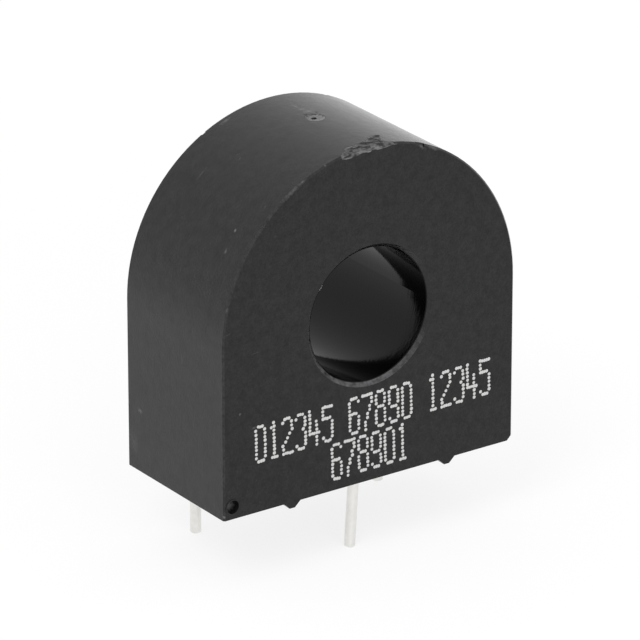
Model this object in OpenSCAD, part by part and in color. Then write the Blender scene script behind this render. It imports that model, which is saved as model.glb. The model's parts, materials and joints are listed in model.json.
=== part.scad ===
// Window-type current transformer for a circuit board.
// A ring coil sits in a moulded cup around the window tube and is cast in with epoxy from the back.
// X runs to the right along the front face, Y from the front face to the back, and Z up.
// The origin lies under the middle of the housing, level with the tips of the pins it stands on.

/* [Housing] */
// Width of the housing, and twice the radius of its crown
body_w = 25; // [24:0.5:28]
// Height from the underside to the top of the crown
body_h = 25.3; // [24.7:0.1:28]
// Depth from the front face to the back rim
body_d = 12; // [10:0.5:18]
// Thickness of the outer wall
shell_t = 1; // [0.8:0.05:1.2]
// Thickness of the front wall
front_t = 1; // [0.8:0.05:1.4]
// Thickness of the floor that holds the pins
floor_t = 1; // [0.8:0.05:1.2]
// Width of the small bevel along the outer edge of the front face
edge_bevel = 0.12; // [0.05:0.01:0.25]

/* [Window] */
// Diameter of the window that the primary conductor passes through
window_d = 10; // [8:0.5:11]
// Height of the window's axis above the underside
window_h = 12.6; // [12.2:0.1:13.4]
// Wall thickness of the tube around the window
tube_t = 0.9; // [0.7:0.05:1.2]
// Bevel at the window's front mouth
window_bevel = 0.3; // [0.1:0.05:0.5]
// Bevel at the window's back mouth
back_bevel = 0.1; // [0.05:0.05:0.5]

/* [Feet] */
// Height of the feet below the underside
foot_h = 0.45; // [0.3:0.05:1]
// Width of a foot where it meets the underside
foot_root_w = 1.4; // [1:0.1:1.8]
// Width of the flat that a foot stands on
foot_tip_w = 0.45; // [0.3:0.05:0.9]
// Length of a foot along the depth
foot_l = 1.6; // [1:0.1:2.4]
// Distance between the two front feet
front_feet_gap = 13.4; // [8:0.1:16]
// Distance between the two back feet, which keep clear of the solder pads of the back pins
back_feet_gap = 8; // [5:0.1:10]

/* [Pins] */
// Diameter of the tinned wire
pin_d = 0.8; // [0.6:0.05:1]
// Length of the pins below the underside
pin_free = 5.8; // [4:0.1:8]
// Distance between the two back pins
pin_pitch = 16; // [14.5:0.5:18.5]
// Distance of the two back pins from the back face
pin_inset = 1.7; // [1.6:0.1:2.4]
// Distance of the front pin from the front face
front_pin_inset = 2; // [1.7:0.1:2.4]
// How much thicker the pins are along the collar that grips the floor
pin_grip = 0.36; // [0.34:0.02:0.44]
// Thickness of the flange by which a pin rests on the floor
flange_t = 0.3; // [0.2:0.05:0.4]
// How far the flange stands out around the wire
flange_lip = 0.25; // [0.15:0.05:0.35]
// How far the front pin is bent over to the left, in degrees
front_pin_lean = 3.6; // [0:0.2:5]

/* [Coil] */
// Least gap between the wrapped coil and the outer wall, filled with epoxy
coil_gap = 0.5; // [0.45:0.05:0.9]
// Gap between the wrapped coil and the window tube
tube_gap = 0.25; // [0.15:0.05:0.4]
// Gap between the wrapped coil and the front wall
front_gap = 0.2; // [0.1:0.05:0.6]
// Thickness of the tape over the winding
tape_t = 0.15; // [0.1:0.01:0.2]
// Build of the winding inside the ring, where its turns crowd together
wind_inner_t = 0.75; // [0.5:0.05:0.9]
// Build of the winding outside the ring and over its two faces
wind_outer_t = 0.6; // [0.4:0.05:0.8]

/* [Core] */
// Wall thickness of the box around the core
box_t = 0.5; // [0.35:0.05:0.6]
// Gap between the core and the walls of its box
core_gap = 0.1; // [0.05:0.05:0.2]
// Thickness of the soft pad under the lid
pad_t = 0.4; // [0.2:0.05:0.6]
// Height of the lip that centres the lid
lip_h = 0.25; // [0.1:0.05:0.3]

/* [Leads] */
// Diameter of a lead
lead_d = 0.25; // [0.2:0.01:0.3]
// Turns of a lead around its pin
wrap_turns = 4; // [2:1:5]
// Wall thickness of the sleeve on a lead
sleeve_t = 0.15; // [0.1:0.01:0.2]
// Distance of each lead's exit from the middle of the coil
exit_x = 1.5; // [1:0.1:3]

/* [Potting] */
// Thickness of the epoxy behind the coil
pot_cover = 1.4; // [1.2:0.1:2]
// Depth of the epoxy's surface below the back rim
pot_recess = 0.3; // [0.1:0.05:0.6]

/* [Marks] */
// Diameter of the round mark in the lower left corner of the front face
mark_d = 1; // [0.6:0.05:1.1]
// Depth of that mark
mark_depth = 0.45; // [0.2:0.05:0.6]
// Distance of the mark's middle from the left side
mark_x = 0.75; // [0.75:0.05:1.5]
// Distance of the mark's middle from the underside
mark_z = 0.93; // [0.8:0.01:1.5]
// Distance of the gate mark on the crown from the front face
gate_y = 6.8; // [4:0.1:8]
// Size of the broken corner at the lower right
corner_chip = 0.45; // [0.2:0.05:0.6]

/* [Hidden] */
$fn = 96;
// A little more, so that a cut runs past the face that it opens
past = 1;

// Heights
body_z = pin_free;
floor_z = body_z + floor_t;
crown_r = body_w / 2;
crown_z = body_z + body_h - crown_r;
window_z = body_z + window_h;

// Depths, from the front to the back
front_y = -body_d / 2;
back_y = body_d / 2;
cup_y = front_y + front_t;
pot_y = back_y - pot_recess;
coil_y = [cup_y + front_gap, pot_y - pot_cover];
wind_y = [coil_y[0] + tape_t, coil_y[1] - tape_t];
box_y = [wind_y[0] + wind_outer_t, wind_y[1] - wind_outer_t];
lid_y = box_y[1] - box_t;
core_y = [box_y[0] + box_t, lid_y - pad_t];

// Radii around the window's axis, the inner one first
tube_r = window_d / 2 + tube_t;
coil_room = min(body_w / 2 - shell_t, window_h - floor_t, body_h - window_h - shell_t);
coil_r = [tube_r + tube_gap, coil_room - coil_gap];
wind_r = [coil_r[0] + tape_t, coil_r[1] - tape_t];
box_r = [wind_r[0] + wind_inner_t, wind_r[1] - wind_outer_t];
core_r = [box_r[0] + box_t + core_gap, box_r[1] - box_t - core_gap];
// The lip of the lid runs along the outer wall of the box with a little play
lip_play = 0.05;
lip_t = 0.4;
lip_r = [box_r[1] - box_t - lip_play - lip_t, box_r[1] - box_t - lip_play];
// Roundness of the wound ring, and of the tape that follows it
wind_round = 0.5;
tape_round = wind_round + tape_t;

// Pins
pin_r = pin_d / 2;
pin_x = pin_pitch / 2;
front_pin_y = front_y + front_pin_inset;
back_pin_y = back_y - pin_inset;
tip_bevel = 0.08;
grip_r = pin_r + pin_grip / 2;
// Gap of a pin in its hole
hole_play = 0.01;
flange_r = pin_r + flange_lip;
post_z = floor_z + flange_t;

// Leads: each wraps round its pin, crosses behind the coil and turns in through the tape
lead_r = lead_d / 2;
wrap_r = pin_r + lead_r;
// Share of a turn's thickness left between turns that press a little into each other
wrap_press = 0.94;
wrap_pitch = lead_d * wrap_press;
// Height of the lowest turn over the flange
wrap_lift = 0.35;
wrap_z = post_z + wrap_lift;
wrap_top_z = wrap_z + (wrap_turns - 1) * wrap_pitch;
lead_play = 0.02;
sleeve_r = [lead_r + lead_play, lead_r + lead_play + sleeve_t];
// Gap between the coil's back and the sleeves that cross it
cross_gap = 0.42;
cross_y = coil_y[1] + cross_gap + sleeve_r[1];
// Distance of the exits inside the rim of the wound ring
exit_inset = 1.2;
exit_r = wind_r[1] - exit_inset;
exit_z = window_z - sqrt(exit_r * exit_r - exit_x * exit_x);
// Distance from the pin's axis at which its lead has reached the depth of the sleeve
turn_x = 1.3;
// Bare stretch of a lead at each end of its sleeve
bare_l = 0.35;

// Solder: how thick it lies over the turns and how far it climbs above them, if the coil leaves room
solder_wall = 0.12;
solder_climb = 0.7;
solder_gap = 0.3;
solder_r = wrap_r + lead_r + solder_wall;
coil_over_pin_z = window_z - sqrt(pow(coil_r[1], 2) - pow(pin_x - solder_r, 2));
solder_top_z = min(wrap_top_z + solder_climb, coil_over_pin_z - solder_gap);
// How far the post of a pin stands out of the solder
post_tip = 0.12;
post_top_z = solder_top_z + post_tip;

// Rim of the round mark
mark_rim = 0.1;
mark_rim_h = 0.03;
// Gate mark: a dish, and a pit a little left of its middle
gate_dish_d = 1.5;
gate_dish_depth = 0.07;
gate_pit_d = 0.5;
gate_pit_depth = 0.3;
gate_pit_shift = 0.15;
// Breaks in the rims of the crown: angle from the top, depth of the rim, width and size of the break
rim_chips = [[19.7, front_y, 0.8, 0.24], [-28.4, back_y, 0.35, 0.08], [21.2, back_y, 0.35, 0.12]];
// Torn strip along the front rim: its angles from the top, its width on the crown and its drop at the front
scar_from = -12;
scar_to = 9;
scar_w = 0.45;
// Stretches where the scar reaches further over the crown: angles from the top, width, drop at the front
// and depth at the far end
scar_tears = [[-8.5, 0.5, 0.95, 0.17, 0.1], [0, 8.5, 1.75, 0.14, 0.1]];
scar_drop = 0.2;

// Places its children with their own Z along the window's axis, from the depth y
module on_axis(y = 0) {
    translate([0, y, window_z]) rotate([-90, 0, 0]) children();
}

// Ring around the window's axis, between two radii and two depths
module ring(r, y) {
    on_axis(y[0]) difference() {
        cylinder(h = y[1] - y[0], r = r[1]);
        translate([0, 0, -past]) cylinder(h = y[1] - y[0] + 2 * past, r = r[0]);
    }
}

// Rectangle with rounded corners, from the origin
module round_rect(w, h, r) {
    translate([r, 0]) square([w - 2 * r, h]);
    translate([0, r]) square([w, h - 2 * r]);
    for (x = [r, w - r], y = [r, h - r])
        translate([x, y]) circle(r);
}

// Ring with rounded edges around the window's axis
module soft_ring(r, y, round) {
    on_axis(y[0]) rotate_extrude() translate([r[0], 0]) round_rect(r[1] - r[0], y[1] - y[0], round);
}

// Round bar from one point to another
module bar(from, to, r) {
    v = to - from;
    translate(from) rotate([0, acos(v[2] / norm(v)), atan2(v[1], v[0])]) cylinder(h = norm(v), r = r);
}

// Block with a straight underside and a round crown, with its front edge bevelled.
// inset is the distance of its sides from those of the housing, y its two depths and z its underside.
module crowned_block(inset, y, z, bevel = 0) {
    r = crown_r - inset;
    translate([0, 0, crown_z]) rotate([-90, 0, 0]) rotate([0, 0, 180]) rotate_extrude(angle = 180)
        polygon([[0, y[0]], [r - bevel, y[0]], [r, y[0] + bevel], [r, y[1]], [0, y[1]]]);
    translate([0, 0, z]) linear_extrude(height = crown_z - z)
        polygon([[-r + bevel, y[0]], [r - bevel, y[0]], [r, y[0] + bevel], [r, y[1]], [-r, y[1]],
                 [-r, y[0] + bevel]]);
}

// Inside of the cup, from the front wall to the depth y, around the window tube
module cup_inside(y) {
    difference() {
        crowned_block(shell_t, [cup_y, y], floor_z);
        on_axis(cup_y - past) cylinder(h = y - cup_y + 2 * past, r = tube_r);
    }
}

// Foot with sloping sides under the housing, centred on x, between two depths
module foot(x, y) {
    translate([x, y[1], body_z]) rotate([90, 0, 0]) linear_extrude(height = y[1] - y[0])
        polygon([[-foot_root_w / 2, 0], [foot_root_w / 2, 0], [foot_tip_w / 2, -foot_h],
                 [-foot_tip_w / 2, -foot_h]]);
}

module feet() {
    for (side = [-1, 1]) {
        foot(side * front_feet_gap / 2, [front_y, front_y + foot_l]);
        foot(side * back_feet_gap / 2, [back_y - foot_l, back_y]);
    }
}

// Cut that bevels a mouth of the window, opening along -Z
module mouth(bevel) {
    translate([0, 0, -bevel]) cylinder(h = 2 * bevel, r1 = window_d / 2 + 2 * bevel, r2 = window_d / 2);
}

// The window with its two bevelled mouths
module window() {
    on_axis(front_y - past) cylinder(h = body_d + 2 * past, d = window_d);
    translate([0, front_y, window_z]) rotate([-90, 0, 0]) mouth(window_bevel);
    translate([0, back_y, window_z]) rotate([90, 0, 0]) mouth(back_bevel);
}

module pin_holes() {
    for (at = [[-pin_x, back_pin_y], [pin_x, back_pin_y], [0, front_pin_y]])
        translate([at[0], at[1], body_z - past]) cylinder(h = floor_t + 2 * past, r = grip_r + hole_play);
}

// Round mark with a low rim, in the lower left corner of the front face
module mark_place() {
    translate([-body_w / 2 + mark_x, front_y, body_z + mark_z]) rotate([-90, 0, 0]) children();
}

module mark_ring() {
    mark_place() translate([0, 0, -mark_rim_h]) cylinder(h = front_t / 2, d = mark_d + 2 * mark_rim);
}

module mark_hole() {
    mark_place() translate([0, 0, -past]) cylinder(h = mark_depth + past, d = mark_d);
}

// Where the moulding's gate was torn off: a shallow dish with a pit in it
module gate_mark() {
    translate([0, front_y + gate_y, crown_z + crown_r]) {
        translate([0, 0, -gate_dish_depth]) cylinder(h = past, d = gate_dish_d);
        translate([-gate_pit_shift, 0, -gate_pit_depth]) cylinder(h = past, d = gate_pit_d);
    }
}

// Lower right front corner, broken off across its three edges
module broken_corner() {
    // The cut crosses the three edges at the same distance, so it lies that far over the root of three
    slab = [4 * corner_chip, 4 * corner_chip, 2 * corner_chip / sqrt(3)];
    translate([body_w / 2, front_y, body_z]) rotate([0, acos(1 / sqrt(3)), 135]) cube(slab, center = true);
}

// Small breaks in the rims of the crown: angle from the top, depth, width and size
module broken_rims() {
    for (chip = rim_chips) {
        side = chip[3] * sqrt(2);
        translate([0, chip[1], crown_z]) rotate([0, chip[0], 0]) translate([0, 0, crown_r])
            rotate([45, 0, 0]) cube([chip[2], side, side], center = true);
    }
}

// Stretch of the scar between two angles, sloping from its drop at the front to its depth at the far end
module scar_cut(from, to, width, drop, end = 0) {
    translate([0, front_y, crown_z]) rotate([-90, 0, 0]) rotate([0, 0, from - 90])
        rotate_extrude(angle = to - from)
        polygon([[crown_r - drop, 0], [crown_r - drop, -past], [crown_r + past, -past],
                 [crown_r + past, width], [crown_r - end, width]]);
}

// Torn strip along the front edge of the crown
module edge_scar() {
    scar_cut(scar_from, scar_to, scar_w, scar_drop);
    for (tear = scar_tears)
        scar_cut(tear[0], tear[1], tear[2], tear[3], tear[4]);
}

module housing() {
    color("#3b3b3c") difference() {
        union() {
            crowned_block(0, [front_y, back_y], body_z, edge_bevel);
            feet();
            mark_ring();
        }
        cup_inside(back_y + past);
        window();
        pin_holes();
        mark_hole();
        gate_mark();
        broken_corner();
        broken_rims();
        edge_scar();
    }
}

// A pin from its tip up to its flange, standing on the origin
module pin_shank() {
    cylinder(h = tip_bevel, r1 = pin_r - tip_bevel, r2 = pin_r);
    translate([0, 0, tip_bevel]) cylinder(h = pin_free - tip_bevel, r = pin_r);
}

module pin_root() {
    translate([0, 0, body_z]) cylinder(h = floor_t, r = grip_r);
    translate([0, 0, floor_z]) cylinder(h = flange_t, r = flange_r);
}

// Back pin with the post that its lead is wrapped on
module back_pin(side) {
    translate([side * pin_x, back_pin_y, 0]) {
        pin_shank();
        pin_root();
        translate([0, 0, post_z]) cylinder(h = post_top_z - post_z, r = pin_r);
    }
}

module pin_left() {
    color("#dcdcd8") back_pin(-1);
}

module pin_right() {
    color("#dcdcd8") back_pin(1);
}

// The front pin only steadies the part, and is bent over just below the floor
module pin_front() {
    color("#dcdcd8") translate([0, front_pin_y, 0]) {
        translate([0, 0, body_z]) rotate([0, front_pin_lean, 0]) translate([0, 0, -pin_free]) pin_shank();
        translate([0, 0, body_z]) sphere(r = pin_r);
        pin_root();
    }
}

// Wrapped coil as a whole, which the epoxy flows around
module coil_body() {
    soft_ring(coil_r, coil_y, tape_round);
}

module wound_body() {
    soft_ring(wind_r, wind_y, wind_round);
}

module winding_tape() {
    color("#c9a13a") difference() {
        coil_body();
        wound_body();
        for (side = [-1, 1])
            bar([side * exit_x, wind_y[1] - past, exit_z], [side * exit_x, coil_y[1] + past, exit_z],
                lead_r + lead_play);
    }
}

module winding() {
    color("#b4622d") difference() {
        wound_body();
        ring(box_r, box_y);
    }
}

module core_cup() {
    color("#e9e4d4") difference() {
        ring(box_r, [box_y[0], lid_y]);
        ring([box_r[0] + box_t, box_r[1] - box_t], [box_y[0] + box_t, lid_y + past]);
    }
}

module core_lid() {
    color("#e9e4d4") {
        ring(box_r, [lid_y, box_y[1]]);
        ring(lip_r, [lid_y - lip_h, lid_y]);
    }
}

module core_pad() {
    color("#8f9499") difference() {
        ring([core_r[0], lip_r[1]], [core_y[1], lid_y]);
        ring([lip_r[0] - lip_play, lip_r[1] + past], [lid_y - lip_h - lip_play, lid_y + past]);
    }
}

module core() {
    color("#8d9094") ring(core_r, core_y);
}

// Turns of a lead around its pin, drawn tight, from the pin's own surface outwards
module wrap(side) {
    translate([side * pin_x, back_pin_y, wrap_z]) rotate_extrude() {
        for (i = [0 : wrap_turns - 1])
            translate([wrap_r, i * wrap_pitch]) circle(lead_r);
        translate([pin_r, 0]) square([lead_r, (wrap_turns - 1) * wrap_pitch]);
    }
}

// One lead: turns round the pin, then across behind the coil, and in through the tape
module lead(side) {
    start = [side * (pin_x + lead_r), back_pin_y + wrap_r, wrap_top_z];
    turn = [side * (pin_x - turn_x), cross_y, wrap_top_z];
    corner = [side * exit_x, cross_y, exit_z];
    wrap(side);
    bar(start, turn, lead_r);
    translate(turn) sphere(lead_r);
    bar(turn, corner, lead_r);
    translate(corner) sphere(lead_r);
    bar(corner, [corner[0], wind_y[1], corner[2]], lead_r);
}

module lead_left() {
    color("#c8793a") lead(-1);
}

module lead_right() {
    color("#c8793a") lead(1);
}

// Sleeve over the straight stretch of a lead, less the room that the lead takes
module sleeve(side, bore = true) {
    turn = [side * (pin_x - turn_x), cross_y, wrap_top_z];
    corner = [side * exit_x, cross_y, exit_z];
    along = (corner - turn) / norm(corner - turn);
    difference() {
        bar(turn + bare_l * along, corner - bare_l * along, sleeve_r[1]);
        if (bore) bar(turn, corner, sleeve_r[0]);
    }
}

module sleeve_left() {
    color("#f1efe6") sleeve(-1);
}

module sleeve_right() {
    color("#f1efe6") sleeve(1);
}

// Solder that has run over the turns, from the flange to below the top of the post
module solder_body(side) {
    translate([side * pin_x, back_pin_y, post_z]) rotate_extrude()
        polygon([[0, 0], [solder_r - solder_wall, 0], [solder_r, 2 * solder_wall],
                 [solder_r, wrap_top_z - post_z + lead_r], [pin_r + solder_wall, solder_top_z - post_z],
                 [0, solder_top_z - post_z]]);
}

module solder(side) {
    difference() {
        solder_body(side);
        translate([side * pin_x, back_pin_y, post_z - past])
            cylinder(h = solder_top_z - post_z + 2 * past, r = pin_r);
        lead(side);
    }
}

module solder_left() {
    color("#c9ccce") solder(-1);
}

module solder_right() {
    color("#c9ccce") solder(1);
}

// Black epoxy that fills the cup around everything in it
module potting() {
    color("#242425") difference() {
        cup_inside(pot_y);
        coil_body();
        translate([0, front_pin_y, 0]) pin_root();
        for (side = [-1, 1]) {
            back_pin(side);
            solder_body(side);
            lead(side);
            sleeve(side, bore = false);
        }
    }
}

housing();
potting();
pin_left();
pin_right();
pin_front();
winding_tape();
winding();
core_cup();
core_lid();
core_pad();
core();
lead_left();
lead_right();
sleeve_left();
sleeve_right();
solder_left();
solder_right();
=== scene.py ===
"""Dresses a packed current transformer for a circuit board: finishes, print, resin and torn plastic."""

import json
import math
import random

import bpy
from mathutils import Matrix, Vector, noise


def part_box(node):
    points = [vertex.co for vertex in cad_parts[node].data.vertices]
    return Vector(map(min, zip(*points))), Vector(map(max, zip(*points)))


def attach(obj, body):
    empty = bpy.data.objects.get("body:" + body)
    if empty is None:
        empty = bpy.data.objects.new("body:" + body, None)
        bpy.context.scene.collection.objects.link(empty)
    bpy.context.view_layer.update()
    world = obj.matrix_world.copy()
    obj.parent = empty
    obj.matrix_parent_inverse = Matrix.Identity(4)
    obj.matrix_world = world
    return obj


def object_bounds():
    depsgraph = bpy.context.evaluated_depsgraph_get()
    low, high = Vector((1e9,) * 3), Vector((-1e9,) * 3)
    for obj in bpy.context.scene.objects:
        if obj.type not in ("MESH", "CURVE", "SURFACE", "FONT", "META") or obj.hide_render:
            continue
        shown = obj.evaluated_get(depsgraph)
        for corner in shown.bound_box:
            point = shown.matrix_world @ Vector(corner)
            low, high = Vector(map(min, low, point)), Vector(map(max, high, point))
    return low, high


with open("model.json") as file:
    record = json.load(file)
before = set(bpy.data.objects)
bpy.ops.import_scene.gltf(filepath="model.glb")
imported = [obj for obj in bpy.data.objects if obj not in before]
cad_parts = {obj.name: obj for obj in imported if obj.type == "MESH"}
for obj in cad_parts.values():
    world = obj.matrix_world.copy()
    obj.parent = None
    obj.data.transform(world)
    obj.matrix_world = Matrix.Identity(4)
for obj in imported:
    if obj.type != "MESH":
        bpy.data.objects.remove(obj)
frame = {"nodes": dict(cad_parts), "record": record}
cad_low, cad_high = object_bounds()


# ---------------------------------------------------------------------------
# Core
# A ring wound from one long, thin strip of soft magnetic alloy, like a roll of tape, and annealed.
# It lies in its box and carries nothing.
# ---------------------------------------------------------------------------

mm = 0.001
window = next(m for m in frame["record"]["mounts"] if m["name"] == "window")
window_axis = Vector(window["pos_m"])
window_r = window["dims"]["r_mm"] * mm


def srgb(text):
    """Linear red, green, blue and alpha of an sRGB colour written as six hex digits."""
    shares = [int(text[i : i + 2], 16) / 255 for i in (0, 2, 4)]
    return [s / 12.92 if s <= 0.04045 else ((s + 0.055) / 1.055) ** 2.4 for s in shares] + [1.0]


def empty_material(name):
    """A new material without nodes, and its node tree."""
    material = bpy.data.materials.new(name)
    material.use_nodes = True
    material.node_tree.nodes.clear()
    return material, material.node_tree


def add(tree, kind, inputs=None, **settings):
    """Adds a shader node. Settings are its properties; an input is a value, or a socket to link."""
    made = tree.nodes.new("ShaderNode" + kind)
    for name, value in settings.items():
        setattr(made, name, value)
    for name, value in (inputs or {}).items():
        if isinstance(value, bpy.types.NodeSocket):
            tree.links.new(value, made.inputs[name])
        else:
            made.inputs[name].default_value = value
    return made


def blend(tree, share, first, second):
    """A colour between two, as a socket. Each of the two is a colour or a socket."""
    return add(tree, "Mix", {0: share, 6: first, 7: second}, data_type="RGBA").outputs[2]


def calc(tree, operation, *values, **settings):
    """A sum on numbers and sockets, as a socket."""
    return add(tree, "Math", dict(enumerate(values)), operation=operation, **settings).outputs[0]


def with_surface(material, inputs):
    """Ends a material with one principled surface of these inputs."""
    tree = material.node_tree
    shader = add(tree, "BsdfPrincipled", inputs)
    add(tree, "OutputMaterial", {"Surface": shader.outputs[0]})
    return material


def paint(material, *names):
    """Gives CAD solids their material."""
    for name in names:
        solid = frame["nodes"][name]
        if not solid.material_slots:
            solid.data.materials.append(material)
        for slot in solid.material_slots:
            slot.material = material


def wound_strip():
    """Annealed alloy strip: blue-grey metal whose end faces show the edges of the turns."""
    material, tree = empty_material("annealed_strip")
    # The strip is 0.02 mm thick; its turns are drawn eight times as coarse so that they show
    turn, wave_period = 0.16 * mm, 0.3
    place = add(tree, "TexCoord").outputs["Object"]
    centred = add(tree, "Mapping", {"Vector": place, "Location": -window_axis})
    turns = add(
        tree,
        "TexWave",
        {"Vector": centred.outputs[0], "Scale": wave_period / turn, "Distortion": 0.6, "Detail": 2.0},
        wave_type="RINGS",
        rings_direction="Y",
    )
    tint = add(tree, "TexNoise", {"Vector": place, "Scale": 1 / (4 * mm), "Detail": 2.0})
    colour = blend(tree, tint.outputs[0], srgb("7b8086"), srgb("8f8a80"))
    rough = add(tree, "MapRange", {"Value": turns.outputs["Fac"], "To Min": 0.3, "To Max": 0.5})
    bump = add(tree, "Bump", {"Height": turns.outputs["Fac"], "Distance": 0.01 * mm})
    return with_surface(
        material,
        {
            "Base Color": colour,
            "Metallic": 1.0,
            "Roughness": rough.outputs[0],
            "Normal": bump.outputs[0],
        },
    )


paint(wound_strip(), "core")


# ---------------------------------------------------------------------------
# Core box and its pad
# A cup and a lid moulded in pale polyester keep the winding's pull off the strip, and a ring of
# silicone sponge under the lid keeps the core from rattling.
# ---------------------------------------------------------------------------


def moulded_polyester():
    """Ivory moulded polyester: satin, with faint flow marks."""
    material, tree = empty_material("ivory_polyester")
    flow = 2.5 * mm
    spark = 0.15 * mm
    place = add(tree, "TexCoord").outputs["Object"]
    marks = add(tree, "TexNoise", {"Vector": place, "Scale": 1 / flow, "Detail": 3.0, "Distortion": 1.5})
    grain = add(tree, "TexNoise", {"Vector": place, "Scale": 1 / spark, "Detail": 1.0})
    colour = blend(tree, marks.outputs[0], srgb("ddd6c2"), srgb("e8e2d0"))
    rough = add(tree, "MapRange", {"Value": marks.outputs[0], "To Min": 0.4, "To Max": 0.55})
    bump = add(tree, "Bump", {"Height": grain.outputs[0], "Strength": 0.5, "Distance": 0.01 * mm})
    return with_surface(
        material,
        {"Base Color": colour, "Roughness": rough.outputs[0], "IOR": 1.55, "Normal": bump.outputs[0]},
    )


def silicone_sponge():
    """Grey silicone sponge: matt, with the open cells of a cut face, painted darker as shade inside the
    cells.
    """
    material, tree = empty_material("silicone_sponge")
    cell = 0.18 * mm
    place = add(tree, "TexCoord").outputs["Object"]
    cells = add(tree, "TexVoronoi", {"Vector": place, "Scale": 1 / cell})
    depth = add(
        tree,
        "MapRange",
        {"Value": cells.outputs["Distance"], "From Min": 0.15, "From Max": 0.5},
        interpolation_type="SMOOTHSTEP",
    )
    # Painted shade: the open cells are darker than the walls between them
    colour = blend(tree, depth.outputs[0], srgb("4c5155"), srgb("8b9196"))
    bump = add(tree, "Bump", {"Height": depth.outputs[0], "Distance": 0.05 * mm})
    return with_surface(
        material,
        {"Base Color": colour, "Roughness": 0.9, "IOR": 1.41, "Normal": bump.outputs[0]},
    )


paint(moulded_polyester(), "core_cup", "core_lid")
paint(silicone_sponge(), "core_pad")


# ---------------------------------------------------------------------------
# Winding, and the two leads that end it
# About a thousand turns of thin enamelled copper wire wound round the boxed core. The two ends are
# thicker, and each is wrapped round its pin.
# ---------------------------------------------------------------------------


def around_window(tree):
    """Angle round the window's axis in radians, as a socket."""
    place = add(tree, "TexCoord").outputs["Object"]
    centred = add(tree, "VectorMath", {0: place, 1: window_axis}, operation="SUBTRACT")
    parts = add(tree, "SeparateXYZ", {0: centred.outputs[0]})
    return calc(tree, "ARCTAN2", parts.outputs[0], parts.outputs[2])


def enamelled_winding():
    """Enamelled copper wound in turns: red-brown gloss with a groove between neighbours, painted darker as
    shade.
    """
    material, tree = empty_material("enamelled_copper_turns")
    # The wire is 0.1 mm thick; one drawn turn stands for two, so that each one shows
    turns_round = 300.0
    sway_angle = 0.12
    angle = around_window(tree)
    place = add(tree, "TexCoord").outputs["Object"]
    sway = add(tree, "TexNoise", {"Vector": place, "Scale": 1 / (3 * mm), "Detail": 1.0})
    shifted = calc(tree, "MULTIPLY_ADD", sway.outputs[0], sway_angle, angle)
    swing = calc(tree, "SINE", calc(tree, "MULTIPLY", shifted, turns_round))
    crest = add(tree, "MapRange", {"Value": swing, "From Min": -1.0})
    # Painted shade: the colour darkens from the crest of each turn into the groove between neighbours
    colour = blend(tree, crest.outputs[0], srgb("5a2412"), srgb("b1683c"))
    bump = add(tree, "Bump", {"Height": crest.outputs[0], "Distance": 0.05 * mm})
    return with_surface(
        material,
        {
            "Base Color": colour,
            "Metallic": 0.85,
            "Roughness": 0.3,
            "Coat Weight": 0.6,
            "Coat Roughness": 0.12,
            "Normal": bump.outputs[0],
        },
    )


def enamelled_wire():
    """A single enamelled wire: smooth, with slightly uneven enamel."""
    material, tree = empty_material("enamelled_copper_wire")
    place = add(tree, "TexCoord").outputs["Object"]
    uneven = add(tree, "TexNoise", {"Vector": place, "Scale": 1 / (0.6 * mm), "Detail": 2.0})
    colour = blend(tree, uneven.outputs[0], srgb("8a431f"), srgb("b56a3b"))
    rough = add(tree, "MapRange", {"Value": uneven.outputs[0], "To Min": 0.2, "To Max": 0.36})
    return with_surface(
        material,
        {
            "Base Color": colour,
            "Metallic": 0.9,
            "Roughness": rough.outputs[0],
            "Coat Weight": 0.6,
            "Coat Roughness": 0.1,
        },
    )


paint(enamelled_winding(), "winding")
paint(enamelled_wire(), "lead_left", "lead_right")


# ---------------------------------------------------------------------------
# Tape over the winding
# Amber polyester film, lapped round the finished ring so that each turn covers part of the last.
# ---------------------------------------------------------------------------


def polyester_film():
    """Amber film tape: clear gloss, darker where two turns lap."""
    material, tree = empty_material("amber_polyester_film")
    laps_round, lap_start, lap_end = 22, 0.34, 0.38
    angle = around_window(tree)
    share = calc(tree, "FRACT", calc(tree, "MULTIPLY", angle, laps_round / math.tau))
    lapped = add(tree, "MapRange", {"Value": share, "From Min": lap_start, "From Max": lap_end})
    colour = blend(tree, lapped.outputs[0], srgb("a8731c"), srgb("d3a03a"))
    place = add(tree, "TexCoord").outputs["Object"]
    crease = add(
        tree, "TexNoise", {"Vector": place, "Scale": 1 / (1.5 * mm), "Detail": 3.0, "Distortion": 2.0}
    )
    step = calc(tree, "MULTIPLY_ADD", lapped.outputs[0], 0.4, crease.outputs[0])
    bump = add(tree, "Bump", {"Height": step, "Distance": 0.04 * mm})
    return with_surface(
        material,
        {"Base Color": colour, "Roughness": 0.22, "IOR": 1.6, "Normal": bump.outputs[0]},
    )


paint(polyester_film(), "winding_tape")


# ---------------------------------------------------------------------------
# Sleeves on the leads
# Short lengths of white glass-braid sleeving keep the leads off the winding where they cross it.
# ---------------------------------------------------------------------------


def braided_sleeving():
    """Resin-dipped glass braid: off-white and matt, with a fine woven relief, painted darker as shade in
    the gaps between strands.
    """
    material, tree = empty_material("glass_braid_sleeving")
    strand = 0.12 * mm
    place = add(tree, "TexCoord").outputs["Object"]
    weave = add(
        tree, "TexVoronoi", {"Vector": place, "Scale": 1 / strand, "Randomness": 0.2}, distance="MANHATTAN"
    )
    # Painted shade: the colour darkens from the middle of each strand into the gaps between strands
    colour = blend(tree, weave.outputs["Distance"], srgb("efebdd"), srgb("cfc9b4"))
    bump = add(tree, "Bump", {"Height": weave.outputs["Distance"], "Distance": 0.03 * mm}, invert=True)
    return with_surface(
        material,
        {"Base Color": colour, "Roughness": 0.75, "IOR": 1.5, "Normal": bump.outputs[0]},
    )


paint(braided_sleeving(), "sleeve_left", "sleeve_right")


# ---------------------------------------------------------------------------
# Pins
# Drawn wire, tinned and cut to length, pressed through the floor. The two at the back carry the
# winding; the one at the front only holds that side down, and its free length leans a little.
# ---------------------------------------------------------------------------


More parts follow.
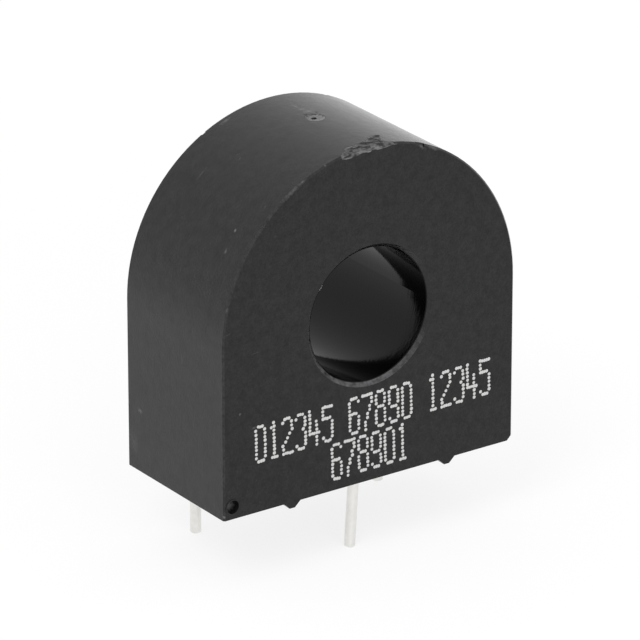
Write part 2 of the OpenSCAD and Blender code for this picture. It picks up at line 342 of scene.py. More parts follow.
def tinned_wire():
    """Tinned drawn wire: bright satin metal with fine lines along the wire."""
    material, tree = empty_material("tinned_wire")
    # Draw lines are a few hundredths of a millimetre wide, and drawn a little wider so that they show
    line = 0.07 * mm
    stretch = 0.02
    place = add(tree, "TexCoord").outputs["Object"]
    along = add(tree, "Mapping", {"Vector": place, "Scale": (1.0, 1.0, stretch)})
    lines = add(tree, "TexNoise", {"Vector": along.outputs[0], "Scale": 1 / line, "Detail": 2.0})
    bloom = add(tree, "TexNoise", {"Vector": place, "Scale": 1 / (0.5 * mm), "Detail": 3.0})
    colour = blend(tree, bloom.outputs[0], srgb("e0dfdb"), srgb("f5f4f0"))
    rough = add(tree, "MapRange", {"Value": bloom.outputs[0], "To Min": 0.24, "To Max": 0.38})
    bump = add(tree, "Bump", {"Height": lines.outputs[0], "Strength": 0.5, "Distance": 0.012 * mm})
    return with_surface(
        material,
        {
            "Base Color": colour,
            "Metallic": 1.0,
            "Roughness": rough.outputs[0],
            "Normal": bump.outputs[0],
        },
    )


paint(tinned_wire(), "pin_left", "pin_right", "pin_front")


# ---------------------------------------------------------------------------
# Solder on the two wrapped joints
# Tin-lead solder run over the wrapped turns by dipping.
# ---------------------------------------------------------------------------


def cooled_solder():
    """Solder as it cooled: grey metal with a slightly frosted grain."""
    material, tree = empty_material("cooled_solder")
    crystal = 0.2 * mm
    place = add(tree, "TexCoord").outputs["Object"]
    grains = add(tree, "TexVoronoi", {"Vector": place, "Scale": 1 / crystal})
    shade = add(tree, "SeparateXYZ", {0: grains.outputs["Color"]})
    colour = blend(tree, shade.outputs[0], srgb("bcbdbd"), srgb("d2d2d1"))
    rough = add(tree, "MapRange", {"Value": shade.outputs[1], "To Min": 0.25, "To Max": 0.5})
    bump = add(tree, "Bump", {"Height": grains.outputs["Distance"], "Distance": 0.01 * mm})
    return with_surface(
        material,
        {
            "Base Color": colour,
            "Metallic": 1.0,
            "Roughness": rough.outputs[0],
            "Normal": bump.outputs[0],
        },
    )


paint(cooled_solder(), "solder_left", "solder_right")


# ---------------------------------------------------------------------------
# Housing
# One black moulding of glass-filled polyamide: a cup that is open at the back, with the window's
# tube, four low feet, and the round mark in the front face's lower left corner.
# ---------------------------------------------------------------------------

body_low, body_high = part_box("housing")
crown_r = body_high.x
crown_z = body_high.z - crown_r
back_y = body_high.y
front_y = -back_y
edge_bevel = 0.12 * mm


def on_crown(degrees, y):
    """Point of the crown at an angle from the top, towards +X."""
    turn = math.radians(degrees)
    return Vector((crown_r * math.sin(turn), y, crown_z + crown_r * math.cos(turn)))


def outline_reach(tree, place):
    """Distance out to the arched outline, from the middle plane and, higher up, from the crown's axis.
    The depth comes with it."""
    parts = add(tree, "SeparateXYZ", {0: place})
    above = calc(tree, "MAXIMUM", calc(tree, "SUBTRACT", parts.outputs[2], crown_z), 0.0)
    flat = add(tree, "CombineXYZ", {0: parts.outputs[0], 2: above})
    reach = add(tree, "VectorMath", {0: flat.outputs[0]}, operation="LENGTH")
    return reach.outputs["Value"], parts.outputs[1]


def from_window(tree, place):
    """Distance from the window's axis, as a socket."""
    flat = add(tree, "VectorMath", {0: place, 1: (1.0, 0.0, 1.0)}, operation="MULTIPLY")
    axis = (window_axis.x, 0.0, window_axis.z)
    return add(tree, "VectorMath", {0: flat.outputs[0], 1: axis}, operation="DISTANCE").outputs["Value"]


def spots(tree, place, marks, ragged, full):
    """Share of cover of a list of spots: middle, half sizes in millimetres, turn about the depth.
    Full is the share of the half sizes inside which a spot covers fully."""
    far_off, outer, rag_size = 10.0, 1.1, 0.2 * mm
    nearest = far_off
    for middle, half, turn in marks:
        local = add(
            tree,
            "Mapping",
            {
                "Vector": place,
                "Location": middle,
                "Rotation": (0.0, math.radians(turn), 0.0),
                "Scale": Vector(half) * mm,
            },
            vector_type="TEXTURE",
        )
        away = add(tree, "VectorMath", {0: local.outputs[0]}, operation="LENGTH")
        nearest = calc(tree, "MINIMUM", nearest, away.outputs["Value"])
    broken = add(tree, "TexNoise", {"Vector": place, "Scale": 1 / rag_size, "Detail": 2.0})
    swing = add(tree, "MapRange", {"Value": broken.outputs[0], "To Min": -ragged, "To Max": ragged})
    total = calc(tree, "ADD", swing.outputs[0], nearest)
    return add(tree, "MapRange", {"Value": total, "From Min": outer, "From Max": full}).outputs[0]


def scuffs(tree, place):
    """Rubbed specks, scratches and patches, in three strengths."""
    dull_share, faint_share = 0.5, 0.16
    bright = [
        (Vector((-crown_r, front_y, body_low.z + 0.75 * mm)), (0.16, 0.16, 0.16), 0),
        (on_crown(-27.5, front_y), (0.5, 0.14, 0.1), -27),
        (on_crown(-52, -3.7 * mm), (0.16, 0.12, 0.12), 0),
        (on_crown(-18, front_y), (0.14, 0.14, 0.1), -18),
    ]
    dull = [
        (on_crown(-59.1, -3.8 * mm), (0.1, 0.12, 0.26), 20),
        (on_crown(-76, front_y), (0.1, 0.12, 0.5), 14),
        (on_crown(-20.5, back_y - 0.45 * mm), (0.5, 0.2, 0.16), -20),
        (on_crown(1.4, 2.1 * mm), (0.5, 0.26, 0.2), 0),
        (on_crown(0.6, 2.7 * mm), (0.3, 0.2, 0.2), 0),
        (on_crown(0.6, 3.4 * mm), (0.12, 0.6, 0.2), 0),
        (Vector((-11.1 * mm, front_y, 13.6 * mm)), (0.12, 0.1, 0.11), 0),
        (Vector((-9.9 * mm, front_y, 12.3 * mm)), (0.2, 0.1, 0.12), 0),
        (Vector((-crown_r, 4.5 * mm, 10.5 * mm)), (0.2, 0.3, 0.16), 0),
        (Vector((-11.8 * mm, front_y + 0.45 * mm, 6.65 * mm)), (0.45, 0.12, 0.4), 0),
        (Vector((4.2 * mm, front_y, 30.25 * mm)), (0.6, 0.16, 0.16), 47),
        (Vector((5.3 * mm, front_y, 29.8 * mm)), (0.6, 0.16, 0.18), 28),
        (on_crown(-32.5, front_y), (1.5, 0.2, 0.18), -32.5),
    ]
    faint = [
        (on_crown(-29.5, 1.4 * mm), (0.12, 0.12, 0.12), 0),
        (on_crown(-30.3, 0.9 * mm), (0.14, 0.12, 0.12), 0),
        (on_crown(-41, 2.9 * mm), (0.7, 0.1, 0.1), -41),
        (on_crown(-41, -4.9 * mm), (0.12, 0.12, 0.12), 0),
        (Vector((-8.1 * mm, front_y, 26.2 * mm)), (0.14, 0.1, 0.1), 0),
        (Vector((-crown_r, -0.9 * mm, 16.3 * mm)), (0.1, 0.08, 0.5), 0),
        (Vector((-crown_r, -3.0 * mm, 18.0 * mm)), (0.1, 0.1, 0.1), 0),
        (Vector((-12.1 * mm, front_y, 19.8 * mm)), (0.25, 0.15, 0.08), -8),
        (Vector((-9.8 * mm, front_y, 17.9 * mm)), (0.5, 0.1, 0.06), -8),
        (Vector((-crown_r, 5.3 * mm, 7.8 * mm)), (0.2, 0.75, 0.9), 0),
    ]
    clear = spots(tree, place, bright, ragged=0.5, full=0.3)
    half = calc(tree, "MULTIPLY", spots(tree, place, dull, ragged=0.9, full=0.2), dull_share)
    slight = calc(tree, "MULTIPLY", spots(tree, place, faint, ragged=1.2, full=0.1), faint_share)
    return calc(tree, "MAXIMUM", calc(tree, "MAXIMUM", clear, half), slight)


def painted_edge_highlight(tree, place):
    """How strongly a painted highlight lightens the front edge and the bevel of the window's mouth, most at
    its lower left, broken up by noise.
    """
    mouth, margin = 0.3 * mm, 0.02 * mm
    edge_highlight_level, least_mouth_highlight, most_mouth_highlight = 0.16, 0.06, 0.8
    patch = 0.3 * mm
    reach, y = outline_reach(tree, place)
    out = calc(tree, "SUBTRACT", reach, y)
    corner = crown_r - front_y - edge_bevel
    # Painted highlight: a thin pale line on the bevel of the front outline
    line = add(tree, "MapRange", {"Value": out, "From Min": corner - margin, "From Max": corner})
    edge_highlight_share = calc(tree, "MULTIPLY", line.outputs[0], edge_highlight_level)
    at_mouth = calc(tree, "LESS_THAN", from_window(tree, place), window_r + mouth + margin)
    at_front = calc(tree, "LESS_THAN", y, front_y + mouth - margin)
    bevel = calc(tree, "MULTIPLY", at_mouth, at_front)
    # Painted highlight on the mouth's bevel, growing towards its lower left
    upper_right = add(tree, "VectorMath", {0: place, 1: (0.4, 0.0, 1.0)}, operation="DOT_PRODUCT")
    low = add(
        tree,
        "MapRange",
        {
            "Value": upper_right.outputs["Value"],
            "From Min": window_axis.z,
            "From Max": window_axis.z - 0.95 * window_r,
            "To Min": least_mouth_highlight,
            "To Max": most_mouth_highlight,
        },
    )
    edge_and_mouth_highlight = calc(tree, "MAXIMUM", edge_highlight_share, calc(tree, "MULTIPLY", bevel, low.outputs[0]))
    broken = add(tree, "TexNoise", {"Vector": place, "Scale": 1 / patch, "Detail": 4.0})
    kept = add(
        tree,
        "MapRange",
        {"Value": broken.outputs[0], "From Min": 0.35, "From Max": 0.65, "To Min": 0.25},
    )
    return calc(tree, "MULTIPLY", edge_and_mouth_highlight, kept.outputs[0])


def spark_eroded_skin(tree, place):
    """The outside: satin black, finely pitted, in soft patches, pale where it is scuffed, and lightened by
    a painted highlight along the front edge and the window's mouth.
    """
    pit, patch = 0.16 * mm, 0.75 * mm
    pits = add(tree, "TexNoise", {"Vector": place, "Scale": 1 / pit, "Detail": 3.0, "Roughness": 0.6})
    patches = add(tree, "TexNoise", {"Vector": place, "Scale": 1 / patch, "Detail": 2.0})
    tone = calc(tree, "MULTIPLY_ADD", patches.outputs[0], 0.7, pits.outputs[0])
    shade = add(tree, "MapRange", {"Value": tone, "From Min": 0.62, "From Max": 1.08})
    black = blend(tree, shade.outputs[0], srgb("080808"), srgb("1e1e1f"))
    # Real scuffs and the painted highlight on the edges share one pale grey
    pale = calc(tree, "MAXIMUM", painted_edge_highlight(tree, place), scuffs(tree, place))
    rough = add(tree, "MapRange", {"Value": patches.outputs[0], "To Min": 0.1, "To Max": 0.22})
    bump = add(tree, "Bump", {"Height": tone, "Strength": 0.6, "Distance": 0.03 * mm})
    return add(
        tree,
        "BsdfPrincipled",
        {
            "Base Color": blend(tree, pale, black, srgb("656567")),
            "Roughness": rough.outputs[0],
            "IOR": 1.5,
            "Specular IOR Level": 0.3,
            "Normal": bump.outputs[0],
        },
    ).outputs[0]


def bore_skin_with_painted_shade(tree, place):
    """The bore, moulded on a smoother core pin: glossier, with faint streaks. Its near-black colour is
    painted shade inside the bore, and so is its lower index, which makes it give back about half as much
    light as the outer skin."""
    streak, stretch = 0.2 * mm, 0.06
    drawn_out = add(tree, "Mapping", {"Vector": place, "Scale": (1.0, 1.0, stretch)})
    streaks = add(tree, "TexNoise", {"Vector": drawn_out.outputs[0], "Scale": 1 / streak, "Detail": 2.0})
    bump = add(tree, "Bump", {"Height": streaks.outputs[0], "Strength": 0.3, "Distance": 0.01 * mm})
    # Painted shade: the near-black colour and low index darken the bore as shade inside it would
    return add(
        tree,
        "BsdfPrincipled",
        {"Base Color": srgb("020202"), "Roughness": 0.1, "IOR": 1.25, "Normal": bump.outputs[0]},
    ).outputs[0]


def torn_skin(tree, place, paleness):
    """Broken plastic: rough and fibrous, from black to grey by its paleness. The black end is painted shade
    in pits and nicks, and the grey is stress-whitened plastic.
    """
    fibre, swing = 0.09 * mm, 0.2
    fibres = add(tree, "TexNoise", {"Vector": place, "Scale": 1 / fibre, "Detail": 3.0})
    lift = add(tree, "MapRange", {"Value": fibres.outputs[0], "To Min": -swing, "To Max": swing})
    light = calc(tree, "ADD", paleness, lift.outputs[0], use_clamp=True)
    bump = add(tree, "Bump", {"Height": fibres.outputs[0], "Distance": 0.02 * mm})
    return add(
        tree,
        "BsdfPrincipled",
        {
            # The black end is painted shade in the pits and nicks; the grey end is stress-whitened torn
            # plastic
            "Base Color": blend(tree, light, srgb("040404"), srgb("7e7e7f")),
            "Roughness": 0.55,
            "IOR": 1.5,
            "Normal": bump.outputs[0],
        },
    ).outputs[0]


def moulded_polyamide():
    """Black glass-filled polyamide from a spark-eroded mould: satin outside, glossier in the bore and
    darker there with painted shade, and rough where it is torn."""
    material, tree = empty_material("black_polyamide")
    margin = 0.05 * mm
    place = add(tree, "TexCoord").outputs["Object"]
    in_bore = calc(tree, "LESS_THAN", from_window(tree, place), window_r + margin)
    moulded = add(
        tree, "MixShader", {0: in_bore, 1: spark_eroded_skin(tree, place), 2: bore_skin_with_painted_shade(tree, place)}
    )
    # The relief pieces carry how torn and how pale they are at each point, with the pits made darker as
    # painted shade.
    # The solid carries neither, and its nicks in the back rim and beside the gate are torn and take the
    # torn colour's darkest end, which is painted shade
    nicks = [
        (on_crown(-28.5, back_y), (0.2, 0.2, 0.12), -28),
        (on_crown(22.0, back_y), (0.26, 0.2, 0.12), 22),
        (on_crown(-1.0, 1.65 * mm), (0.18, 0.16, 0.1), 0),
        (on_crown(3.3, 1.6 * mm), (0.14, 0.12, 0.1), 0),
    ]
    carried = add(tree, "Attribute", attribute_name="torn")
    shares = add(tree, "SeparateXYZ", {0: carried.outputs["Vector"]})
    nicked = spots(tree, place, nicks, ragged=0.3, full=0.6)
    torn_share = calc(tree, "MAXIMUM", shares.outputs[0], nicked)
    torn = torn_skin(tree, place, shares.outputs[1])
    whole = add(tree, "MixShader", {0: torn_share, 1: moulded.outputs[0], 2: torn})
    add(tree, "OutputMaterial", {"Surface": whole.outputs[0]})
    return material


polyamide = moulded_polyamide()
paint(polyamide, "housing")


# ---------------------------------------------------------------------------
# Torn rim and gate scar
# The same polyamide, left rough: a strip torn off along the front rim of the crown, and the stub
# where the gate was broken off on top. Each piece fills a plain cut in the solid.
# ---------------------------------------------------------------------------


def closed_skin(name, top, under, wraps, material, shares=None):
    """A closed mesh between two grids of points, which may wrap round in their first direction.
    Shares are two numbers for each point of the top grid: how torn it is, and how pale, with the pits made
    darker as painted shade."""
    rows, columns = len(top), len(top[0])
    points = [p for grid in (top, under) for row in grid for p in row]
    lower = rows * columns
    faces = []
    for i in range(rows if wraps else rows - 1):
        for j in range(columns - 1):
            a, b = i * columns + j, (i + 1) % rows * columns + j
            faces.append((a, b, b + 1, a + 1))
            faces.append((lower + a, lower + a + 1, lower + b + 1, lower + b))
    for i in range(rows if wraps else rows - 1):
        for j, turn in ((0, 1), (columns - 1, -1)):
            a, b = i * columns + j, (i + 1) % rows * columns + j
            faces.append((a, lower + a, lower + b, b)[::turn])
    if not wraps:
        for i, turn in ((0, -1), (rows - 1, 1)):
            for j in range(columns - 1):
                a = i * columns + j
                faces.append((a, lower + a, lower + a + 1, a + 1)[::turn])
    mesh = bpy.data.meshes.new(name)
    mesh.from_pydata(points, [], faces)
    mesh.shade_smooth()
    mesh.materials.append(material)
    if shares:
        carried = mesh.attributes.new("torn", "FLOAT_VECTOR", "POINT")
        for i, pair in enumerate(p for row in shares for p in row):
            carried.data[i].vector = (pair[0], pair[1], 0.0)
    piece = bpy.data.objects.new(name, mesh)
    bpy.context.scene.collection.objects.link(piece)
    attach(piece, "root")
    return piece


def within(point, outline):
    """Distance from a point to a closed outline, positive inside it and negative outside."""
    inside, nearest = False, 1.0
    for a, b in zip(outline, outline[1:] + outline[:1]):
        if (a.y > point.y) != (b.y > point.y):
            if point.x < a.x + (b.x - a.x) * (point.y - a.y) / (b.y - a.y):
                inside = not inside
        run = b - a
        share = min(1.0, max(0.0, (point - a).dot(run) / run.length_squared))
        nearest = min(nearest, (point - a - run * share).length)
    return nearest if inside else -nearest


def clamp(value):
    """The value held between 0 and 1."""
    return min(1.0, max(0.0, value))


def cover(spot, marks):
    """How far the strongest of some marks covers a spot. A mark is its middle and its half sizes."""
    return max(
        math.exp(-(((spot.x - a) / length) ** 2) - ((spot.y - b) / width) ** 2)
        for a, b, length, width in marks
    )


def torn_rim():
    """Ragged plastic in the cut along the front rim. Each point is found by its angle from the top and
    its way back from the front edge, which is negative down the front face. Lengths are in mm."""
    # Cuts in the solid: angles, how far back, and how deep at the front and at the far end
    cuts = [(-12, 9, 0.45, 0.2, 0.0), (-8.5, 0.5, 0.95, 0.17, 0.1), (0, 8.5, 1.75, 0.14, 0.1)]
    radius, face, edge = crown_r / mm, front_y / mm, edge_bevel / mm
    degree = radius * math.radians(1)
    # Reach of the piece along the rim, down the face and back, and its rows of points
    first_angle, all_angles, low_w, far_w = -12.6, 23.2, -0.54, 1.85
    rows, wall_columns, columns = 190, 20, 64
    # Outside the tear it lies buried in the solid, and inside it stands a little proud of the face
    buried, proud, thick = 0.012, 0.008, 0.3
    # Run of the slope down into the tear, place and width of its pale lip, and stray of the outline
    slope, lip, lip_w, stray = 0.12, 0.05, 0.04, 0.05
    # Length along the rim and width of the coarse and of the fine unevenness
    rag_l, rag_w, fine_l, fine_w = 0.6, 0.2, 0.16, 0.09
    outline = [
        (-12, -0.05), (-11.4, 0.17), (-9.8, 0.43), (-8.4, 0.45), (-8.1, 0.78), (-6.7, 0.92), (-5, 0.86),
        (-3.4, 0.9), (-0.2, 0.93), (0.9, 1.02), (2.8, 1.3), (4.3, 1.64), (6.6, 1.73), (8.3, 1.72),
        (8.2, 1.4), (7.5, 1.1), (6.7, 0.66), (6.6, 0.32), (7.8, 0.18), (9.1, 0.1), (10.4, 0.02),
        (10.3, -0.15), (8.9, -0.2), (7.3, -0.26), (5.8, -0.36), (3.8, -0.41), (1.6, -0.4),
        (-0.3, -0.42), (-2.6, -0.38), (-4.7, -0.4), (-7.1, -0.4), (-8.4, -0.45), (-9.9, -0.39),
        (-11.4, -0.24),
    ]
    outline = [Vector((a * degree, w)) for a, w in outline]
    # Deep spots, which are also painted darker as shade, and pale ones: angle, way back, half length along
    # the rim and half width
    deep_spots = [
        (7.4, 1.58, 0.24, 0.12), (3.9, 1.24, 0.2, 0.16), (4.7, 0.98, 0.22, 0.1), (5.3, 0.6, 0.12, 0.2),
        (1.8, 0.64, 0.3, 0.13), (-0.2, 0.64, 0.22, 0.12), (-1.0, 0.82, 0.2, 0.05), (3.7, 0.14, 0.16, 0.12),
        (-1.6, 0.2, 0.3, 0.09), (-4.0, 0.4, 0.2, 0.08), (-5.6, 0.5, 0.13, 0.12), (-8.6, -0.11, 0.16, 0.12),
        (-10.2, -0.14, 0.2, 0.07), (7.5, -0.07, 0.2, 0.09), (-7.2, 0.2, 0.1, 0.06),
    ]
    pale_spots = [
        (-6.0, 0.84, 0.3, 0.12), (-4.2, -0.22, 0.4, 0.12), (2.3, -0.14, 0.3, 0.2), (-9.7, -0.36, 0.4, 0.06),
        (-11.0, 0.0, 0.12, 0.2), (3.4, 1.48, 0.16, 0.1), (-7.4, -0.12, 0.14, 0.16),
    ]
    deep_spots = [(a * degree, b, length, width) for a, b, length, width in deep_spots]
    pale_spots = [(a * degree, b, length, width) for a, b, length, width in pale_spots]
    top, under, shares = [], [], []
    for i in range(rows + 1):
        angle = first_angle + all_angles * i / rows
        spin = math.radians(angle)
        top_row, under_row, share_row = [], [], []
        for j in range(wall_columns + columns + 1):
            on_wall = j < wall_columns
            w = far_w * max(0, j - wall_columns) / columns
            moulded = max(0.0, edge - w)
            floor = max(
                (front + (far - front) * w / width if a <= angle <= b and w <= width else 0.0)
                for a, b, width, front, far in cuts
            )
            spot = Vector((angle * degree, w))
            if on_wall:
                spot.y = low_w * (1 - j / wall_columns) - edge * j / wall_columns
            # The tear runs along the rim, so its ridges are longer that way
            rag = noise.fractal(Vector((spot.x / rag_l, spot.y / rag_w, 0.0)), 0.9, 2.1, 3)
            fine = noise.noise(Vector((spot.x / fine_l, spot.y / fine_w, 3.0)))
            inside = within(spot + Vector((stray * fine, stray * rag + 0.03 * fine)), outline)
            torn = clamp(inside / lip)
            pitted = cover(spot, deep_spots)
            depth = moulded + buried
            if floor > moulded:
                worn = clamp(inside / slope) * clamp(0.35 + 0.8 * rag) * 0.7
                depth = moulded + (floor - moulded) * max(worn, torn * pitted)
            ridge = math.exp(-(((inside - lip) / lip_w) ** 2))
            pale = 0.3 + 0.45 * rag + 0.35 * fine + 0.2 * ridge + 0.35 * cover(spot, pale_spots)
            # Painted shade: the deep spots are made darker than the torn plastic round them
            pale = clamp(pale - 1.3 * pitted)
            y = face + w
            if on_wall:
                depth = -spot.y
                y = face + (buried if inside < 0 else -proud)
            if j == 0:
                y = face + buried
            for row, sink in ((top_row, 0.0), (under_row, thick)):
                r = radius - depth - (0 if on_wall else sink)
                back = y + (sink if on_wall else 0)
                row.append(Vector((r * math.sin(spin), back, crown_z / mm + r * math.cos(spin))) * mm)
            share_row.append((torn, pale))
        top.append(top_row)
        under.append(under_row)
        shares.append(share_row)
    return closed_skin("torn_rim", top, under, False, polyamide, shares)


torn_rim()


def gate_scar():
    """The broken stub of the gate: a pit in a shallow crater with a pale, ragged lip, and painted shade
    darkening the pit and a ring round it. Lengths are in mm."""
    # Half the side of the square piece, its thickness, and its depth in the solid outside the crater
    half, thick, buried = 0.8, 0.45, 0.012
    dish_r, dish_depth, dish_slope, lip = 0.75, 0.056, 0.35, 0.05
    pit_r, pit_x, pit_depth, pit_slope = 0.22, -0.13, 0.28, 0.04
    gate_y, rag_size, count = 0.8, 0.2, 96
    top, under, shares = [], [], []
    for i in range(count + 1):
        x = -half + 2 * half * i / count
        skin = math.sqrt((crown_r / mm) ** 2 - x**2) + crown_z / mm
        top_row, under_row, share_row = [], [], []
        for j in range(count + 1):
            y = -half + 2 * half * j / count
            rag = noise.fractal(Vector((x, y, 0.0)) / rag_size, 0.7, 2.1, 4)
            # The torn area reaches further to the front than to the back
            inside = dish_r - 0.02 - math.hypot(x, y)
            away = math.hypot((x - 0.02) / 0.6, (y + 0.16) / 0.66) + 0.5 * rag
            from_pit = math.hypot(x - pit_x - 0.3 * max(0.0, y), y + 0.03)
            pit = clamp((pit_r * (1 + 0.25 * rag) - from_pit) / pit_slope)
            depth = buried
            if inside > 0:
                depth = dish_depth * clamp(inside / dish_slope) * clamp(0.5 + 0.9 * rag)
            depth += (pit_depth - depth) * pit
            torn = max(pit, clamp(inside / lip) * clamp((1.15 - away) / 0.2))
            # Painted shade: the pit and a ring round it are made darker than the pale torn lip
            pale = clamp(0.95 + 0.6 * rag - 2.5 * clamp(pit + 0.4 * clamp(1.25 - from_pit / pit_r)))
            top_row.append(Vector((x, gate_y + y, skin - depth)) * mm)
            under_row.append(Vector((x, gate_y + y, skin - thick)) * mm)
            share_row.append((torn, pale))
        top.append(top_row)
        under.append(under_row)
        shares.append(share_row)
    return closed_skin("gate_scar", top, under, False, polyamide, shares)


gate_scar()


# ---------------------------------------------------------------------------
# Potting
# Black epoxy cast into the cup from the back. It set with a skin that creeps up the walls and the
# tube, sinks a little in between, and holds a few small burst bubbles.
# ---------------------------------------------------------------------------


def cast_epoxy():
    """Black filled epoxy as cast: glossy, with slow waves and a little dust in the skin."""
    material, tree = empty_material("cast_epoxy")
    wave = 3.0 * mm
    dust = 0.1 * mm
    place = add(tree, "TexCoord").outputs["Object"]
    waves = add(tree, "TexNoise", {"Vector": place, "Scale": 1 / wave, "Detail": 2.0})
    specks = add(tree, "TexNoise", {"Vector": place, "Scale": 1 / dust, "Detail": 2.0})
    colour = blend(tree, waves.outputs[0], srgb("141415"), srgb("1d1d1f"))
    rough = add(tree, "MapRange", {"Value": specks.outputs[0], "To Min": 0.12, "To Max": 0.34})
    bump = add(tree, "Bump", {"Height": specks.outputs[0], "Strength": 0.3, "Distance": 0.01 * mm})
    return with_surface(
        material,
        {"Base Color": colour, "Roughness": rough.outputs[0], "IOR": 1.55, "Normal": bump.outputs[0]},
    )


epoxy = cast_epoxy()
paint(epoxy, "potting")


def potting_surface():
    """The cast skin between the cup's walls and the window's tube."""
    pot_low, pot_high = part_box("potting")
    # The skin covers the solid everywhere, at least by a hair, and its underside is sunk into it
    tube_t, skin_t, sunk, least = 0.9 * mm, 0.08 * mm, 0.02 * mm, 0.005 * mm
    creep, creep_width, dip = 0.22 * mm, 0.35 * mm, 0.06 * mm
    ripple, ripple_h = 2.6 * mm, 0.02 * mm
    bubble_count, bubble_lip, bubble_depth = 26, 0.02 * mm, 0.05 * mm
    rows, columns = 480, 72
    tube_r = window_r + tube_t
    inner_r = pot_high.x
    level = pot_high.y
    random.seed(11)
    bubbles = []
    while len(bubbles) < bubble_count:
        x = random.uniform(-inner_r, inner_r)
        z = random.uniform(pot_low.z, pot_high.z)
        bubbles.append((x, z, random.uniform(0.12, 0.4) * mm))
    top, under = [], []
    for i in range(rows):
        angle = math.tau * i / rows
        c, s = math.cos(angle), math.sin(angle)
        # Distance from the window's axis to the inside of the cup along this direction
        to_crown = window_axis.z - crown_z
        reach = -to_crown * s + math.sqrt(inner_r**2 - (to_crown * c) ** 2)
        if window_axis.z + reach * s < crown_z:
            side = inner_r / abs(c) if abs(c) > 1e-6 else 1.0
            bottom = (window_axis.z - pot_low.z) / -s if s < -1e-6 else 1.0
            reach = min(side, bottom)
        top_row, under_row = [], []
        for j in range(columns + 1):
            share = (1 - math.cos(math.pi * j / columns)) / 2
            r = tube_r + (reach - tube_r) * share
            x, z = r * c, window_axis.z + r * s
            wall = min(r - tube_r, (reach - r) * 0.9)
            wave = noise.noise(Vector((x, 0.0, z)) / ripple) * ripple_h
            lift = skin_t + creep * math.exp(-wall / creep_width) - dip + wave
            for bx, bz, br in bubbles:
                away = math.hypot(x - bx, z - bz)
                if away < 1.6 * br:
                    bowl = max(0.0, 1 - (away / br) ** 2)
                    lip = math.exp(-(((away - br) / (0.2 * br)) ** 2))
                    lift += bubble_lip * lip - bubble_depth * bowl
            top_row.append(Vector((x, level + max(least, lift), z)))
            under_row.append(Vector((x, level - sunk, z)))
        top.append(top_row)
        under.append(under_row)
    return closed_skin("potting_surface", top, under, True, epoxy)


potting_surface()


# ---------------------------------------------------------------------------
# Print
# White ink jetted on the front face in a tall dot matrix, two rows of plain running numbers.
# ---------------------------------------------------------------------------


def jetted_ink():
    """White jet ink: matt, and unevenly thin, so that some of the black shows through."""
    material, tree = empty_material("white_jet_ink")
    place = add(tree, "TexCoord").outputs["Object"]
    thin = add(tree, "TexNoise", {"Vector": place, "Scale": 1 / (0.15 * mm), "Detail": 2.0})
    colour = blend(tree, thin.outputs[0], srgb("b4b4b3"), srgb("d6d6d4"))
    return with_surface(material, {"Base Color": colour, "Roughness": 0.6, "IOR": 1.5})


def print_dots():
    """Each digit is five dots wide and ten high, and each dot is a low dome of ink."""
    column, line, pitch = 0.188 * mm, 0.292 * mm, 1.14 * mm
    dot_r, dot_h, sunk = 0.125 * mm, 0.016 * mm, 0.01 * mm
    slope, lean = math.radians(0.9), 0.03
    stray_x, stray_z, smallest, largest = 0.012 * mm, 0.015 * mm, 0.92, 1.1
    corners = 12
    # The eleven shapes that a line of dots can have
    lines = {
        "o": ".###.", "n": "#...#", "r": "....#", "l": "#....", "d": "#####", "m": "..#..",
        "k": ".##..", "p": "...#.", "q": ".#...", "h": "####.", "t": "#..#.",
    }
    digits = {
        "0": "onnnnnnnno", "1": "mkmmmmmmmo", "2": "onrrpmqlld", "3": "onrrprrrno",
        "4": "llltttdppp", "5": "dllhrrrrno", "6": "onllhnnnno", "7": "drrppmmqqq",
        "8": "onnnonnnno", "9": "onnnnorrno",
    }
    rows = [
        ("012345 67890 12345", (0.35 * mm, 9.8 * mm)),
        ("678901", (0.0, 6.7 * mm)),
    ]
    random.seed(5)
    points, faces = [], []
    for text, (middle, base) in rows:
        length = (len(text) - 1) * pitch
        for place, sign in enumerate(text):
            if sign == " ":
                continue
            for up, key in enumerate(reversed(digits[sign])):
                for right, mark in enumerate(lines[key]):
                    if mark == ".":
                        continue
                    u = place * pitch + (right - 2) * column - length / 2
                    v = up * line
                    x = middle + u * math.cos(slope) - lean * v + random.gauss(0, stray_x)
                    z = base + v + u * math.sin(slope) + random.gauss(0, stray_z)
                    r = dot_r * random.uniform(smallest, largest)
                    first = len(points)
                    for size, lift in ((1.0, -sunk), (1.0, 0.5 * dot_h), (0.7, dot_h)):
                        for n in range(corners):
                            turn = math.tau * n / corners
                            out, up_by = r * size * math.cos(turn), r * size * math.sin(turn)
                            points.append((x + out, front_y - lift, z + up_by))
                    for ring in (0, corners):
                        for n in range(corners):
                            a, b = first + ring + n, first + ring + (n + 1) % corners
                            faces.append((a, b, b + corners, a + corners))
                    faces.append(tuple(first + 2 * corners + n for n in range(corners)))
                    faces.append(tuple(first + n for n in reversed(range(corners))))
    mesh = bpy.data.meshes.new("print")
    mesh.from_pydata(points, [], faces)
    mesh.materials.append(jetted_ink())
    piece = bpy.data.objects.new("print", mesh)
    bpy.context.scene.collection.objects.link(piece)
    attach(piece, "root")


print_dots()


# ---------------------------------------------------------------------------
# Studio
# A white floor under the pins, soft lamps, a white surround and the camera. None of it is part of
# the object.
# ---------------------------------------------------------------------------


def seen_directly(tree):
    """1 for camera, glossy and transmission rays and 0 for the rest, as a socket."""
    path = add(tree, "LightPath").outputs
    seen = calc(tree, "MAXIMUM", path["Is Camera Ray"], path["Is Glossy Ray"])
    return calc(tree, "MAXIMUM", seen, path["Is Transmission Ray"])


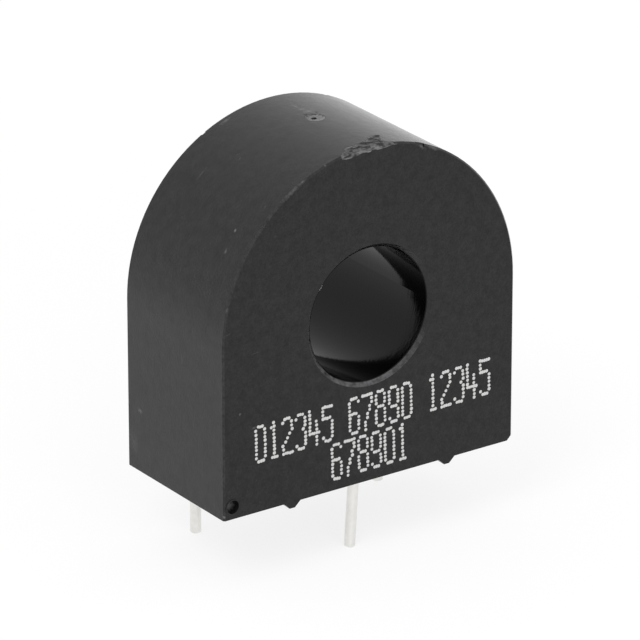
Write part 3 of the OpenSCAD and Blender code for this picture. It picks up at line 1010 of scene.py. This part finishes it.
def white_floor():
    """Matt white board."""
    half, plain_share = 2.0, 0.8
    material, tree = empty_material("white_board")
    shader = add(tree, "BsdfDiffuse", {"Color": srgb("ffffff"), "Roughness": 0.5})
    # The camera, gloss and glass see a fifth of the board's own shading and the rest plain white,
    # so the shadow is pale and soft
    plain = add(tree, "Emission", {"Color": srgb("ffffff"), "Strength": 1.0})
    share = calc(tree, "MULTIPLY", seen_directly(tree), plain_share)
    mixed = add(tree, "MixShader", {0: share, 1: shader.outputs[0], 2: plain.outputs[0]})
    add(tree, "OutputMaterial", {"Surface": mixed.outputs[0]})
    mesh = bpy.data.meshes.new("floor")
    mesh.from_pydata(
        [(-half, -half, 0.0), (half, -half, 0.0), (half, half, 0.0), (-half, half, 0.0)],
        [],
        [(0, 1, 2, 3)],
    )
    mesh.materials.append(material)
    floor = bpy.data.objects.new("floor", mesh)
    bpy.context.scene.collection.objects.link(floor)
    floor.location.z = cad_low.z


def white_surround():
    """The camera, gloss and glass see white all round; matt surfaces get a little less light."""
    world = bpy.data.worlds.new("surround")
    bpy.context.scene.world = world
    world.use_nodes = True
    tree = world.node_tree
    tree.nodes.clear()
    level = add(tree, "MapRange", {"Value": seen_directly(tree), "To Min": 0.82, "To Max": 1.0})
    back = add(tree, "Background", {"Color": srgb("ffffff"), "Strength": level.outputs[0]})
    add(tree, "OutputWorld", {"Surface": back.outputs[0]})


def soft_lamp(name, place, aim, size, level):
    """A square soft box; level is how brightly it alone lights white paper that faces it."""
    light = bpy.data.lights.new(name, "AREA")
    light.size = size
    light.energy = level * math.pi**2 * (aim - place).length ** 2
    lamp = bpy.data.objects.new(name, light)
    lamp.location = place
    lamp.rotation_euler = (aim - place).to_track_quat("-Z", "Y").to_euler()
    bpy.context.scene.collection.objects.link(lamp)


def studio_camera():
    """Long lens from the front left, a little above."""
    turn, rise, away = math.radians(-34.996), math.radians(22.575), 425.78 * mm
    aim = Vector((-0.13 * mm, 0.0, 16.04 * mm))
    data = bpy.data.cameras.new("camera")
    data.lens = 338.0
    data.sensor_width = 36.0
    camera = bpy.data.objects.new("camera", data)
    back = Vector((math.sin(turn) * math.cos(rise), -math.cos(turn) * math.cos(rise), math.sin(rise)))
    camera.location = aim + back * away
    camera.rotation_euler = (-back).to_track_quat("-Z", "Y").to_euler()
    bpy.context.scene.collection.objects.link(camera)
    bpy.context.scene.camera = camera


white_floor()
white_surround()
middle = (cad_low + cad_high) / 2
soft_lamp("key", Vector((-0.45, -0.25, 0.6)), middle, size=0.3, level=0.2)
soft_lamp("low", Vector((-0.2, -0.7, 0.12)), middle, size=0.5, level=0.3)
studio_camera()
bpy.context.scene.view_settings.view_transform = "Standard"
